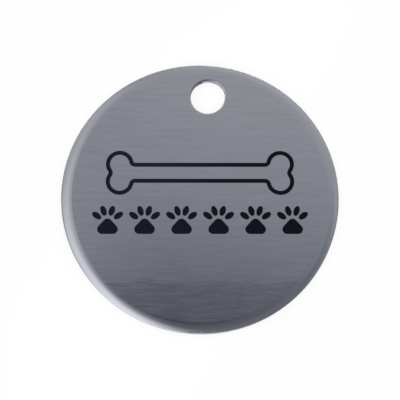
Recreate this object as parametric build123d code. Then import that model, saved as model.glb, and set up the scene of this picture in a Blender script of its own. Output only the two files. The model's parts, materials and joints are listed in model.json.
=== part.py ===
from build123d import *

# Round pet identity tag. The disc is stamped from brushed stainless sheet, which rolls its front edge over, and
# a hole is punched near the rim for a split ring. Two rows of marks are cut into the front, a bone outline above
# a row of paw prints, and the cuts are filled with black enamel. The tag lies on its back: the origin is the
# centre of the back face, +Z points out of the front and +Y from the centre to the ring hole. Millimetres.

import os
from math import atan2, degrees

# Steel disc
disc_diameter = 31.75
disc_thickness = 0.9
edge_roll_reach = 1.25  # how far in from the rim the rolled front edge starts
edge_corner_share = 0.58  # the radius where the roll meets the wall, as a share of the roll's depth
edge_wall = 0.15  # upright wall between the rolled edge and the back chamfer
back_edge_chamfer = 0.15

# Ring hole
hole_diameter = 3.95
hole_land = 2.04  # steel left between the hole and the rim
hole_front_radius = 0.2
hole_back_chamfer = 0.2

# Engraved cuts and the enamel in them
cutter_width = 0.48
cut_depth = 0.25
enamel_drop = 0.04  # how far the dry enamel lies below the front face
enamel_gap = 0.01  # between the enamel and the wall of its cut
marks_turn = 4.3  # degrees anticlockwise from square to the hole
marks_rise = 0.43  # from the disc's centre up to the middle of the two rows
row_gap = 1.3  # steel between the bone and the paw prints

# Bone outline, measured to the middle of the cut
bone_margin = 3.85  # how much shorter the bone is at each end than the flat of the front
bone_knob_radius = 1.35
bone_knob_spread = 2.05  # between the centres of the two knobs at one end
bone_shaft_width = 1.9
bone_hollow_radius = 0.45  # where the knobs meet the shaft and each other

# Row of paw prints
paw_count = 6
paw_gap = 0.67  # steel between two paws
paw_row_margin = 2.35  # how much shorter the row is at each end than the flat of the front

# One paw print as it is drawn, before the drawing is sized to fill the row
pad_corner_radius = 0.55
pad_spread = 1.25  # between the centres of the pad's two lower corners
pad_rise = 0.7  # from the lower corners' centres up to the top corner's
toe_count = 4
toe_length = 1.2
toe_width = 0.7
toe_end_radius = 0.25
toe_ring_radius = 1.53  # from the centre of the pad's top corner to the toes' centres
toe_fan = 108.0  # degrees from the first toe to the last

# Worked out from the sizes above
disc_radius = disc_diameter / 2
wall_top = back_edge_chamfer + edge_wall
edge_roll_depth = disc_thickness - wall_top
edge_corner_radius = edge_corner_share * edge_roll_depth
flat_radius = disc_radius - edge_roll_reach
bone_length = 2 * (flat_radius - bone_margin)
bone_height = bone_knob_spread + 2 * bone_knob_radius + cutter_width
paw_row_length = 2 * (flat_radius - paw_row_margin)
paw_width = (paw_row_length - (paw_count - 1) * paw_gap) / paw_count
hole_radius = hole_diameter / 2
hole_centre_y = disc_radius - hole_land - hole_radius
cut_floor = disc_thickness - cut_depth
enamel_height = cut_depth - enamel_drop


def quarter_oval(reach, depth, corner_radius):
    """A quarter oval of two tangent arcs, level at one end and upright at the other, where the corner arc is: the
    long arc's radius and angle."""
    long_radius = (reach**2 + depth**2 - 2 * reach * corner_radius) / (2 * (depth - corner_radius))
    long_angle = degrees(atan2(reach - corner_radius, long_radius - depth))
    return long_radius, long_angle


def oval(length, width, end_radius):
    """A flat oval of four arcs about its own centre, with its length along X."""
    side_radius, side_angle = quarter_oval(length / 2, width / 2, end_radius)
    side = CenterArc((0, width / 2 - side_radius), side_radius, 90 - side_angle, 2 * side_angle)
    end = CenterArc((end_radius - length / 2, 0), end_radius, 90 + side_angle, 180 - 2 * side_angle)
    half = Curve() + [side, end]
    return make_face((half + Rot(Z=180) * half).edges())


def paw_print(size, slack):
    """One paw at a multiple of its drawn size, with some slack at every edge: the pad's face, then the toes'."""
    foot_x = size * pad_spread / 2
    foot_y = -size * pad_rise
    corner_centres = [(-foot_x, foot_y), (foot_x, foot_y), (0, 0)]
    pad = offset(Polygon(*corner_centres, align=None), size * pad_corner_radius - slack)
    toe = oval(size * toe_length - 2 * slack, size * toe_width - 2 * slack, size * toe_end_radius - slack)
    first_toe = 90 - toe_fan / 2
    toe_places = PolarLocations(size * toe_ring_radius, toe_count, first_toe, toe_fan, endpoint=True)
    return [pad, *(place * toe for place in toe_places)]


def bone():
    """The bone whose edge is the middle of the cut, about its own centre, with its hollows rounded."""
    knob_x = bone_length / 2 - cutter_width / 2 - bone_knob_radius
    shape = Rectangle(2 * knob_x, bone_shaft_width)
    for x in (-knob_x, knob_x):
        for y in (-bone_knob_spread / 2, bone_knob_spread / 2):
            shape += Pos(x, y) * Circle(bone_knob_radius)
    return offset(offset(shape, bone_hollow_radius), -bone_hollow_radius)


def outline_track(shape, slack):
    """The track that the cutter leaves along the edge of a shape, with some slack at each wall."""
    half = cutter_width / 2 - slack
    return offset(shape, half) - offset(shape, -half)


def lay_out_marks():
    """Each mark's faces at both sizes, by node name: as they are cut and as the enamel fills them."""
    drawn_paw = Sketch(paw_print(1, 0)).bounding_box()
    paw_size = paw_width / drawn_paw.size.X
    rows_height = bone_height + row_gap + paw_size * drawn_paw.size.Y
    rows_top = marks_rise + rows_height / 2
    rows_bottom = marks_rise - rows_height / 2
    turn = Rot(Z=marks_turn)

    place = turn * Pos(0, rows_top - bone_height / 2)
    bone_cuts = [place * outline_track(bone(), 0)]
    bone_fills = [place * outline_track(bone(), enamel_gap)]
    marks = {"bone_outline_enamel": (bone_cuts, bone_fills)}

    for number in range(paw_count):
        paw_x = (number - (paw_count - 1) / 2) * (paw_width + paw_gap)
        place = turn * Pos(paw_x, rows_bottom - paw_size * drawn_paw.min.Y)
        paw_cuts = [place * face for face in paw_print(paw_size, 0)]
        paw_fills = [place * face for face in paw_print(paw_size, enamel_gap)]
        marks[f"paw_print_enamel_{number + 1}"] = (paw_cuts, paw_fills)
    return marks


def steel_disc(marks):
    """The stamped blank, with its rolled front edge, its ring hole, its deburred back and the cuts."""
    roll_radius, roll_angle = quarter_oval(edge_roll_reach, edge_roll_depth, edge_corner_radius)
    with BuildPart() as disc:
        with BuildSketch(Plane.XZ):
            with BuildLine():
                Polyline((0, 0), (disc_radius - back_edge_chamfer, 0), (disc_radius, back_edge_chamfer))
                Line((disc_radius, back_edge_chamfer), (disc_radius, wall_top))
                CenterArc((disc_radius - edge_corner_radius, wall_top), edge_corner_radius, 0, 90 - roll_angle)
                CenterArc((flat_radius, disc_thickness - roll_radius), roll_radius, 90 - roll_angle, roll_angle)
                Polyline((flat_radius, disc_thickness), (0, disc_thickness), (0, 0))
            make_face()
        revolve(axis=Axis.Z)
        with Locations((0, hole_centre_y, disc_thickness / 2)):
            Cylinder(hole_radius, disc_thickness, mode=Mode.SUBTRACT)
        hole_edges = disc.edges(Select.LAST).filter_by(GeomType.CIRCLE).sort_by(Axis.Z)
        fillet(hole_edges[-1], hole_front_radius)
        chamfer(hole_edges[0], hole_back_chamfer)
    blank = disc.part
    for cuts, _ in marks.values():
        for face in cuts:
            blank -= Pos(Z=cut_floor) * extrude(face, cut_depth)
    return blank


def enamel(fills):
    """The dry enamel that sits on the floor of one mark's cuts, a solid for each cut."""
    return Part() + [Pos(Z=cut_floor) * extrude(face, enamel_height) for face in fills]


marks = lay_out_marks()
pieces = {"steel_disc": steel_disc(marks)}
for name, (_, fills) in marks.items():
    pieces[name] = enamel(fills)

os.makedirs("parts", exist_ok=True)
for name, piece in pieces.items():
    export_step(piece, f"parts/{name}.step")
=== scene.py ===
import json
import math

import bmesh
import bpy
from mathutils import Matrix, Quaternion, Vector


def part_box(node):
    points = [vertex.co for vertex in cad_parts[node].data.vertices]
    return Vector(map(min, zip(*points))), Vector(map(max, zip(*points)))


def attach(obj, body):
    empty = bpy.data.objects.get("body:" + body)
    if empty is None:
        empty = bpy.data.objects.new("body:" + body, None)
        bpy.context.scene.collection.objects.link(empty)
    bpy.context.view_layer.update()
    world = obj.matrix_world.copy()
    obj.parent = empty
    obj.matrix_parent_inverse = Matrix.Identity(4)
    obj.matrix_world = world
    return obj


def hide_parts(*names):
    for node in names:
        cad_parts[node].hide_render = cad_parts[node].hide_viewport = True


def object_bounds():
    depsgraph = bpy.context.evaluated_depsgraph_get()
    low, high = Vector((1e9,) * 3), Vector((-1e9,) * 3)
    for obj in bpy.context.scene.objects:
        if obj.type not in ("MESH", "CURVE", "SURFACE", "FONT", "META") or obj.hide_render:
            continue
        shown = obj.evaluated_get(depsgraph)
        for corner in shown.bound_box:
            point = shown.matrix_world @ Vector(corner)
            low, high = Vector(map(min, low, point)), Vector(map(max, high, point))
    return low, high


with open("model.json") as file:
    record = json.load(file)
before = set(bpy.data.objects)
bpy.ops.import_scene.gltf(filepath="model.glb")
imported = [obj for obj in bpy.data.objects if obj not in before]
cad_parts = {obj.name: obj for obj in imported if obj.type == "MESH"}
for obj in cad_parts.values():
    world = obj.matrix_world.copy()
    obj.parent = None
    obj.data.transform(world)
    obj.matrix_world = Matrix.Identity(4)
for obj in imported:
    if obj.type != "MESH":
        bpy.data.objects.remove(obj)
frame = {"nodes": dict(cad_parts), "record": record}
cad_low, cad_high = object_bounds()
MM = 0.001

# Stamped disc. One piece of stainless sheet, blanked so that its front edge rolls over, punched for the
# split ring and brushed straight across on both sides. The rim is then tumbled smooth and the ring rubs the
# mouth of the hole bright. The wall of the hole has the dull grey of the shear, deepened with painted shade,
# and the lower part of the face is darkened with painted shade.
disc = frame["nodes"]["steel_disc"]
disc_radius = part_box("steel_disc")[1].x
ring_hole = next(mount for mount in frame["record"]["mounts"] if mount["name"] == "ring_hole")
hole_centre = Vector(ring_hole["pos_m"])
hole_radius = ring_hole["dims"]["r_mm"] * MM

grain_turn = math.radians(4.1)
fine_streaks = (2.2 * MM, 0.13 * MM, 3.0)  # length, width and detail, as for all streaks
broad_streaks = (5.0 * MM, 0.4 * MM, 4.0)
fine_share, broad_share = 0.55, 0.45
streaks_low, streaks_high = 0.3, 0.7  # the range that the noise of the streaks mostly keeps to
streaks_middle = (streaks_low + streaks_high) / 2
grain_depth = 0.0004 * MM
grain_stretch = 0.5  # how far the grain draws out a highlight
tangent_lift = 0.2  # tips the tangent up from the face, so that no wall of the disc is square to it
steel_dark = (0.422, 0.436, 0.469, 1)
steel_light = (0.480, 0.496, 0.535, 1)
brushed_smooth, brushed_rough = 0.125, 0.16

# The lower part of the face is painted darker: painted shade, streaked like the brushing
lower_shade_streaks = (1.7 * MM, 0.24 * MM, 6.0)
painted_shade_edge = -9.5 * MM
painted_shade_feather = 1.1 * MM
painted_shade_rag = 1.5 * MM
painted_shade_dark, painted_shade_light = 0.75, 0.90

edge_roll_reach = 1.25 * MM
edge_roll_feather = 0.5 * MM
tumbled_steel = (0.440, 0.455, 0.490, 1)
tumbled_roughness = 0.18
hole_roll_reach = 0.2 * MM
hole_roll_feather = 0.12 * MM
rubbed_steel = (0.62, 0.64, 0.69, 1)
# The wall of the hole: the dull grey of the shear, deepened with painted shade
shaded_wall_reach = 0.15 * MM
sheared_and_shaded_steel = (0.080, 0.082, 0.088, 1)


def place(tree, kind, inputs=None, **settings):
    """Adds a shader node, with each input set to a value or linked to a socket."""
    node = tree.nodes.new("ShaderNode" + kind)
    for name, value in settings.items():
        setattr(node, name, value)
    for name, value in (inputs or {}).items():
        if isinstance(value, bpy.types.NodeSocket):
            tree.links.new(value, node.inputs[name])
        else:
            node.inputs[name].default_value = value
    return node


def new_material(name):
    """A new material, with its node tree and its Principled shader."""
    material = bpy.data.materials.new(name)
    material.use_nodes = True
    return material, material.node_tree, material.node_tree.nodes["Principled BSDF"]


# The streaks that an abrasive belt leaves, as a group, because the squeegee leaves them on the enamel too
streaks = bpy.data.node_groups.new("belt_streaks", "ShaderNodeTree")
for name in ("Turn", "Length", "Width", "Detail"):
    streaks.interface.new_socket(name, in_out="INPUT", socket_type="NodeSocketFloat")
streaks.interface.new_socket("Streaks", in_out="OUTPUT", socket_type="NodeSocketFloat")
given = streaks.nodes.new("NodeGroupInput").outputs
spot = place(streaks, "TexCoord").outputs["Object"]
turn = {"Vector": spot, "Angle": given["Turn"]}
turned = place(streaks, "VectorRotate", turn, rotation_type="Z_AXIS", invert=True).outputs["Vector"]
streak_size = place(streaks, "CombineXYZ", {"X": given["Length"], "Y": given["Width"], "Z": given["Length"]})
stretch = {0: turned, 1: streak_size.outputs["Vector"]}
stretched = place(streaks, "VectorMath", stretch, operation="DIVIDE").outputs["Vector"]
noise = place(streaks, "TexNoise", {"Vector": stretched, "Scale": 1.0, "Detail": given["Detail"]})
group_out = streaks.nodes.new("NodeGroupOutput")
streaks.links.new(noise.outputs["Fac"], group_out.inputs["Streaks"])


def belt_streaks(tree, length, width, detail):
    """The streak group at its own size, along the brushing."""
    sizes = {"Turn": grain_turn, "Length": length, "Width": width, "Detail": detail}
    return place(tree, "Group", sizes, node_tree=streaks).outputs["Streaks"]


def distance_from_axis(tree, x, y):
    """How far a point of the surface lies from the upright line through x, y."""
    spot = place(tree, "TexCoord").outputs["Object"]
    moved = place(tree, "VectorMath", {0: spot, 1: (x, y, 0)}, operation="SUBTRACT").outputs["Vector"]
    level = place(tree, "VectorMath", {0: moved, 1: (1, 1, 0)}, operation="MULTIPLY").outputs["Vector"]
    return place(tree, "VectorMath", {0: level}, operation="LENGTH").outputs["Value"]


def fade(tree, value, start, end, low=0.0, high=1.0, how="SMOOTHSTEP"):
    """A value carried from one range into another, and no further."""
    ranges = {"Value": value, "From Min": start, "From Max": end, "To Min": low, "To Max": high}
    return place(tree, "MapRange", ranges, interpolation_type=how).outputs["Result"]


def blend(tree, share, first, second):
    """A colour between two others, which go to the Mix node's two colour sockets, 6 and 7."""
    return place(tree, "Mix", {"Factor": share, 6: first, 7: second}, data_type="RGBA").outputs[2]


def combine(tree, how, first, second):
    """Two values put together."""
    return place(tree, "Math", {0: first, 1: second}, operation=how).outputs["Value"]


steel, tree, shader = new_material("brushed_stainless")
shader.inputs["Metallic"].default_value = 1.0
shader.inputs["Anisotropic"].default_value = grain_stretch

# The brushing of the whole face
fine_part = combine(tree, "MULTIPLY", belt_streaks(tree, *fine_streaks), fine_share)
broad_part = combine(tree, "MULTIPLY", belt_streaks(tree, *broad_streaks), broad_share)
grain = combine(tree, "ADD", fine_part, broad_part)
steel_tone = blend(tree, fade(tree, grain, streaks_low, streaks_high), steel_dark, steel_light)

# Painted shade over the lower part of the face: darker, streaked like the brushing and with a ragged edge
spot = place(tree, "TexCoord").outputs["Object"]
across_grain = Vector((-math.sin(grain_turn), math.cos(grain_turn), 0))
across = place(tree, "VectorMath", {0: spot, 1: across_grain}, operation="DOT_PRODUCT").outputs["Value"]
lower_shade_grain = belt_streaks(tree, *lower_shade_streaks)
off_middle = combine(tree, "SUBTRACT", lower_shade_grain, streaks_middle)
ragged = combine(tree, "ADD", across, combine(tree, "MULTIPLY", off_middle, painted_shade_rag))
painted_shade_tone = fade(tree, lower_shade_grain, streaks_low, streaks_high, painted_shade_dark, painted_shade_light)
painted_shade_full = painted_shade_edge - painted_shade_feather
painted_shade = fade(tree, ragged, painted_shade_edge, painted_shade_full, 1.0, painted_shade_tone)
painted_shade_steel = place(tree, "VectorMath", {0: steel_tone, 1: painted_shade}, operation="MULTIPLY")

# The rim, the mouth of the hole and its wall, which lose the brushing. The wall of the hole is near black:
# the dull grey of the shear, deepened with painted shade
rim_start = disc_radius - edge_roll_reach
rim_share = fade(tree, distance_from_axis(tree, 0, 0), rim_start, rim_start + edge_roll_feather)
steel_tone = blend(tree, rim_share, painted_shade_steel.outputs["Vector"], tumbled_steel)
hole_distance = distance_from_axis(tree, hole_centre.x, hole_centre.y)
mouth_start = hole_radius + hole_roll_reach
mouth_share = fade(tree, hole_distance, mouth_start, mouth_start - hole_roll_feather)
steel_tone = blend(tree, mouth_share, steel_tone, rubbed_steel)
# Painted shade: the wall of the hole is darkened near black
shaded_wall_share = fade(tree, hole_distance, hole_radius + shaded_wall_reach, hole_radius)
steel_tone = blend(tree, shaded_wall_share, steel_tone, sheared_and_shaded_steel)
tree.links.new(steel_tone, shader.inputs["Base Color"])

tumbled = combine(tree, "MAXIMUM", rim_share, mouth_share)
brushed_roughness = fade(tree, grain, streaks_low, streaks_high, brushed_smooth, brushed_rough)
roughnesses = {"Factor": tumbled, "A": brushed_roughness, "B": tumbled_roughness}
roughness = place(tree, "Mix", roughnesses, data_type="FLOAT")
tree.links.new(roughness.outputs["Result"], shader.inputs["Roughness"])
grain_height = combine(tree, "MULTIPLY", grain, combine(tree, "SUBTRACT", 1.0, tumbled))
grain_bump = place(tree, "Bump", {"Height": grain_height, "Strength": 1.0, "Distance": grain_depth})
tree.links.new(grain_bump.outputs["Normal"], shader.inputs["Normal"])
tangent = place(tree, "CombineXYZ", {"X": across_grain.x, "Y": across_grain.y, "Z": tangent_lift})
tree.links.new(tangent.outputs["Vector"], shader.inputs["Tangent"])
disc.data.materials.clear()
disc.data.materials.append(steel)

# Black enamel. It is squeegeed into the cuts and wiped off the face, and it shrinks as it dries, so that
# each mark clings to the wall of its cut and dips a little in the middle. A paw print is a pad and its toes.
enamel_nodes = [name for name in frame["nodes"] if "enamel" in name]
enamel_colour = (0.003, 0.004, 0.0085, 1)
wiped_colour = (0.0045, 0.0058, 0.0115, 1)
wipe_streaks = (1.2 * MM, 0.12 * MM, 2.0)
enamel_smooth, enamel_rough = 0.38, 0.52
enamel_gloss = 0.12
corner_merge = 0.0005 * MM  # joins the loose triangles of a CAD node
level_limit = 0.9  # a face is part of the top where its normal points up by more than this
# The dip goes inwards and down in steps
dip_steps = [(0.02 * MM, -0.018 * MM), (0.04 * MM, -0.012 * MM), (0.06 * MM, -0.006 * MM)]
enamel_crease = math.radians(50)

enamel, tree, shader = new_material("black_enamel")
shader.inputs["Specular IOR Level"].default_value = enamel_gloss
wipe = belt_streaks(tree, *wipe_streaks)
tree.links.new(blend(tree, wipe, enamel_colour, wiped_colour), shader.inputs["Base Color"])
enamel_roughness = fade(tree, wipe, streaks_low, streaks_high, enamel_smooth, enamel_rough)
tree.links.new(enamel_roughness, shader.inputs["Roughness"])


def add_object(name, shape, material):
    """A finished shape as an object of the scene."""
    mesh = bpy.data.meshes.new(name)
    shape.to_mesh(mesh)
    shape.free()
    mesh.materials.append(material)
    added = bpy.data.objects.new(name, mesh)
    bpy.context.scene.collection.objects.link(added)
    return added


for name in enamel_nodes:
    shape = bmesh.new()
    shape.from_mesh(frame["nodes"][name].data)
    bmesh.ops.remove_doubles(shape, verts=shape.verts, dist=corner_merge)
    top = [face for face in shape.faces if face.normal.z > level_limit]
    for inwards, down in dip_steps:
        bmesh.ops.inset_region(
            shape, faces=top, thickness=inwards, depth=down, use_even_offset=True, use_boundary=True
        )
    fill = add_object(name + "_fill", shape, enamel)
    fill.data.shade_smooth()
    fill.data.set_sharp_from_angle(angle=enamel_crease)
    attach(fill, "root")
    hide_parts(name)

# White table. A board painted flat white, on which the tag lies on its back. For the eye it shows the
# white of the background, with a painted shadow a little darker close around the tag, and the steel mirrors
# it nearly as the lamps light it.
table_size = 2.0
table_gap = 0.01 * MM
table_white = (0.93, 0.93, 0.93, 1)
background_white = (1, 1, 1, 1)
seen_glow = 0.985
mirrored_glow = 0.05
# Painted shadow: how far from the tag, and how much, the glow is darkened
painted_shadow_reach = 1.5 * MM
painted_shadow_depth = 0.13

paint, tree, shader = new_material("table_white")
paint.cycles.emission_sampling = "NONE"
shader.inputs["Base Color"].default_value = table_white
shader.inputs["Roughness"].default_value = 1.0
shader.inputs["Specular IOR Level"].default_value = 0.0
path = place(tree, "LightPath").outputs
mirrored = combine(tree, "MAXIMUM", path["Is Glossy Ray"], path["Is Transmission Ray"])
seen_share = combine(tree, "MULTIPLY", path["Is Camera Ray"], seen_glow)
mirrored_share = combine(tree, "MULTIPLY", mirrored, mirrored_glow)
glow_share = combine(tree, "MAXIMUM", seen_share, mirrored_share)
# Painted shadow: the glow is darker where the tag closes the table in
openness = place(tree, "AmbientOcclusion", {"Distance": painted_shadow_reach}).outputs["AO"]
glow_with_painted_shadow = fade(tree, openness, 0.0, 1.0, 1.0 - painted_shadow_depth, 1.0, "LINEAR")
glow = place(tree, "Emission", {"Color": background_white, "Strength": glow_with_painted_shadow})
lit_table = place(tree, "MixShader", {0: glow_share, 1: shader.outputs["BSDF"], 2: glow.outputs["Emission"]})
tree.links.new(lit_table.outputs["Shader"], tree.nodes["Material Output"].inputs["Surface"])

shape = bmesh.new()
bmesh.ops.create_grid(shape, x_segments=1, y_segments=1, size=table_size / 2)
table = add_object("table", shape, paint)
table.location.z = cad_low.z - table_gap

# Light tent. A dome of white cloth over the table, lit in patches from outside: a key at the front left,
# fills all round, and two dark cards near the top. The cloth is bluer where it is in shade. Only
# reflections see it.
tent_radius = 0.16
tent_columns, tent_rows = 64, 32
shade_tint = (0.96, 1.0, 1.145, 1)
light_tint = (1.0, 1.0, 1.02, 1)
shade_level, light_level = 0.2, 0.7  # the brightness up to which, and from which, the cloth has each tint
tent_shade = 0.185
# A patch is the azimuth and elevation of its centre, the degrees from there to where its light is full and
# to where it ends, and the light that it adds.
patches = {
    "key": (-142, 27, 21, 43, 0.29),
    "key_spill": (-172, 55, 2, 36, 0.31),
    "low_key": (-117, 20, 3, 39, 0.73),
    "left_fill": (-172, 0, 52, 83, 0.53),
    "back_fill": (69, 37, 23, 65, 0.41),
    "front_fill": (-60, 46, 19, 51, 0.20),
    "low_back": (70, 2, 18, 48, 0.13),
    "right_fill": (0, 12, 3, 37, 0.26),
    "front_card": (-82, 74, 25, 27, -0.07),
    "right_card": (-50, 60, 30, 50, -0.11),
}


def way_to(azimuth, elevation):
    """The direction at an azimuth, anticlockwise from the tag's right, and an elevation, in degrees."""
    turn, rise = math.radians(azimuth), math.radians(elevation)
    return Vector((math.cos(turn) * math.cos(rise), math.sin(turn) * math.cos(rise), math.sin(rise)))


cloth, tree, shader = new_material("tent_cloth")
cloth.cycles.emission_sampling = "NONE"
spot = place(tree, "TexCoord").outputs["Object"]
outwards = place(tree, "VectorMath", {0: spot}, operation="NORMALIZE").outputs["Vector"]
brightness = tent_shade
for azimuth, elevation, full, end, strength in patches.values():
    centre = way_to(azimuth, elevation)
    nearness = place(tree, "VectorMath", {0: outwards, 1: centre}, operation="DOT_PRODUCT").outputs["Value"]
    patch = fade(tree, nearness, math.cos(math.radians(end)), math.cos(math.radians(full)), 0.0, strength)
    brightness = combine(tree, "ADD", patch, brightness)
tint = blend(tree, fade(tree, brightness, shade_level, light_level), shade_tint, light_tint)
tent_light = place(tree, "Emission", {"Color": tint, "Strength": brightness})
tree.links.new(tent_light.outputs["Emission"], tree.nodes["Material Output"].inputs["Surface"])

shape = bmesh.new()
bmesh.ops.create_uvsphere(shape, u_segments=tent_columns, v_segments=tent_rows, radius=tent_radius)
whole = shape.verts[:] + shape.edges[:] + shape.faces[:]
bmesh.ops.bisect_plane(shape, geom=whole, plane_co=(0, 0, 0), plane_no=(0, 0, 1), clear_inner=True)
tent = add_object("tent", shape, cloth)
tent.visible_camera = False
tent.visible_diffuse = False
tent.visible_transmission = False
tent.visible_shadow = False

# Lamps and room. Four spot lamps with soft cones light the table: at the tag's foot and through the hole
# from the front left, and behind the tag from both sides. The white room fills the rest and is the
# background.
lamp_distance = 0.2
lamp_size = 10 * MM
cone_softness = 1.0
room_fill = 0.2
# A lamp is where it aims, its azimuth and elevation from there, the angle of its cone and its power.
spot_lamps = {
    "foot_lamp": (Vector((-8.5, -16.5, 0)) * MM, -120, 50, 9, 2.8),
    "back_lamp": (Vector((11, 11, 0)) * MM, 45, 50, 14, 0.9),
    "left_lamp": (Vector((-12, 11, 0)) * MM, 135, 50, 12, 0.6),
    "hole_lamp": (hole_centre, -133, 22, 3, 18),
}
for name, (target, azimuth, elevation, cone, power) in spot_lamps.items():
    lamp_data = bpy.data.lights.new(name, "SPOT")
    lamp_data.spot_size = math.radians(cone)
    lamp_data.spot_blend = cone_softness
    lamp_data.shadow_soft_size = lamp_size / 2
    lamp_data.energy = power
    lamp = bpy.data.objects.new(name, lamp_data)
    lamp.location = target + lamp_distance * way_to(azimuth, elevation)
    lamp.rotation_euler = way_to(azimuth, elevation).to_track_quat("Z", "Y").to_euler()
    lamp.visible_camera = False
    lamp.visible_glossy = False
    bpy.context.scene.collection.objects.link(lamp)

room = bpy.data.worlds.new("white_room")
bpy.context.scene.world = room
room.use_nodes = True
tree = room.node_tree
fill_light = tree.nodes["Background"]
fill_light.inputs["Color"].default_value = background_white
fill_light.inputs["Strength"].default_value = room_fill
backdrop = place(tree, "Background", {"Color": background_white, "Strength": 1.0})
path = place(tree, "LightPath").outputs
mirrored = combine(tree, "MAXIMUM", path["Is Glossy Ray"], path["Is Transmission Ray"])
shown = combine(tree, "MAXIMUM", path["Is Camera Ray"], mirrored)
lights = {0: shown, 1: fill_light.outputs["Background"], 2: backdrop.outputs["Background"]}
room_light = place(tree, "MixShader", lights).outputs["Shader"]
tree.links.new(room_light, tree.nodes["World Output"].inputs["Surface"])

# Camera. A long lens, looking down on the tag from a little in front of it and rolled a little to the left.
# It stands as far off as its lens needs for the width of the view.
view_azimuth = 2.1
view_elevation = 75.41
view_roll = math.radians(2.19)
view_width = 45.82 * MM
aim_up = -0.253 * MM
lens = 150.0
near_clip = 10 * MM
front_azimuth = -90
camera_data = bpy.data.cameras.new("camera")
camera_data.lens = lens
camera_data.clip_start = near_clip
camera = bpy.data.objects.new("camera", camera_data)
back = way_to(front_azimuth + view_azimuth, view_elevation)
aim = (-back).to_track_quat("-Z", "Y") @ Quaternion((0, 0, 1), view_roll)
view_distance = view_width * lens / camera_data.sensor_width
camera.rotation_mode = "QUATERNION"
camera.rotation_quaternion = aim
camera.location = aim @ Vector((0, aim_up, view_distance))
bpy.context.scene.collection.objects.link(camera)
bpy.context.scene.camera = camera
bpy.context.scene.view_settings.view_transform = "Standard"
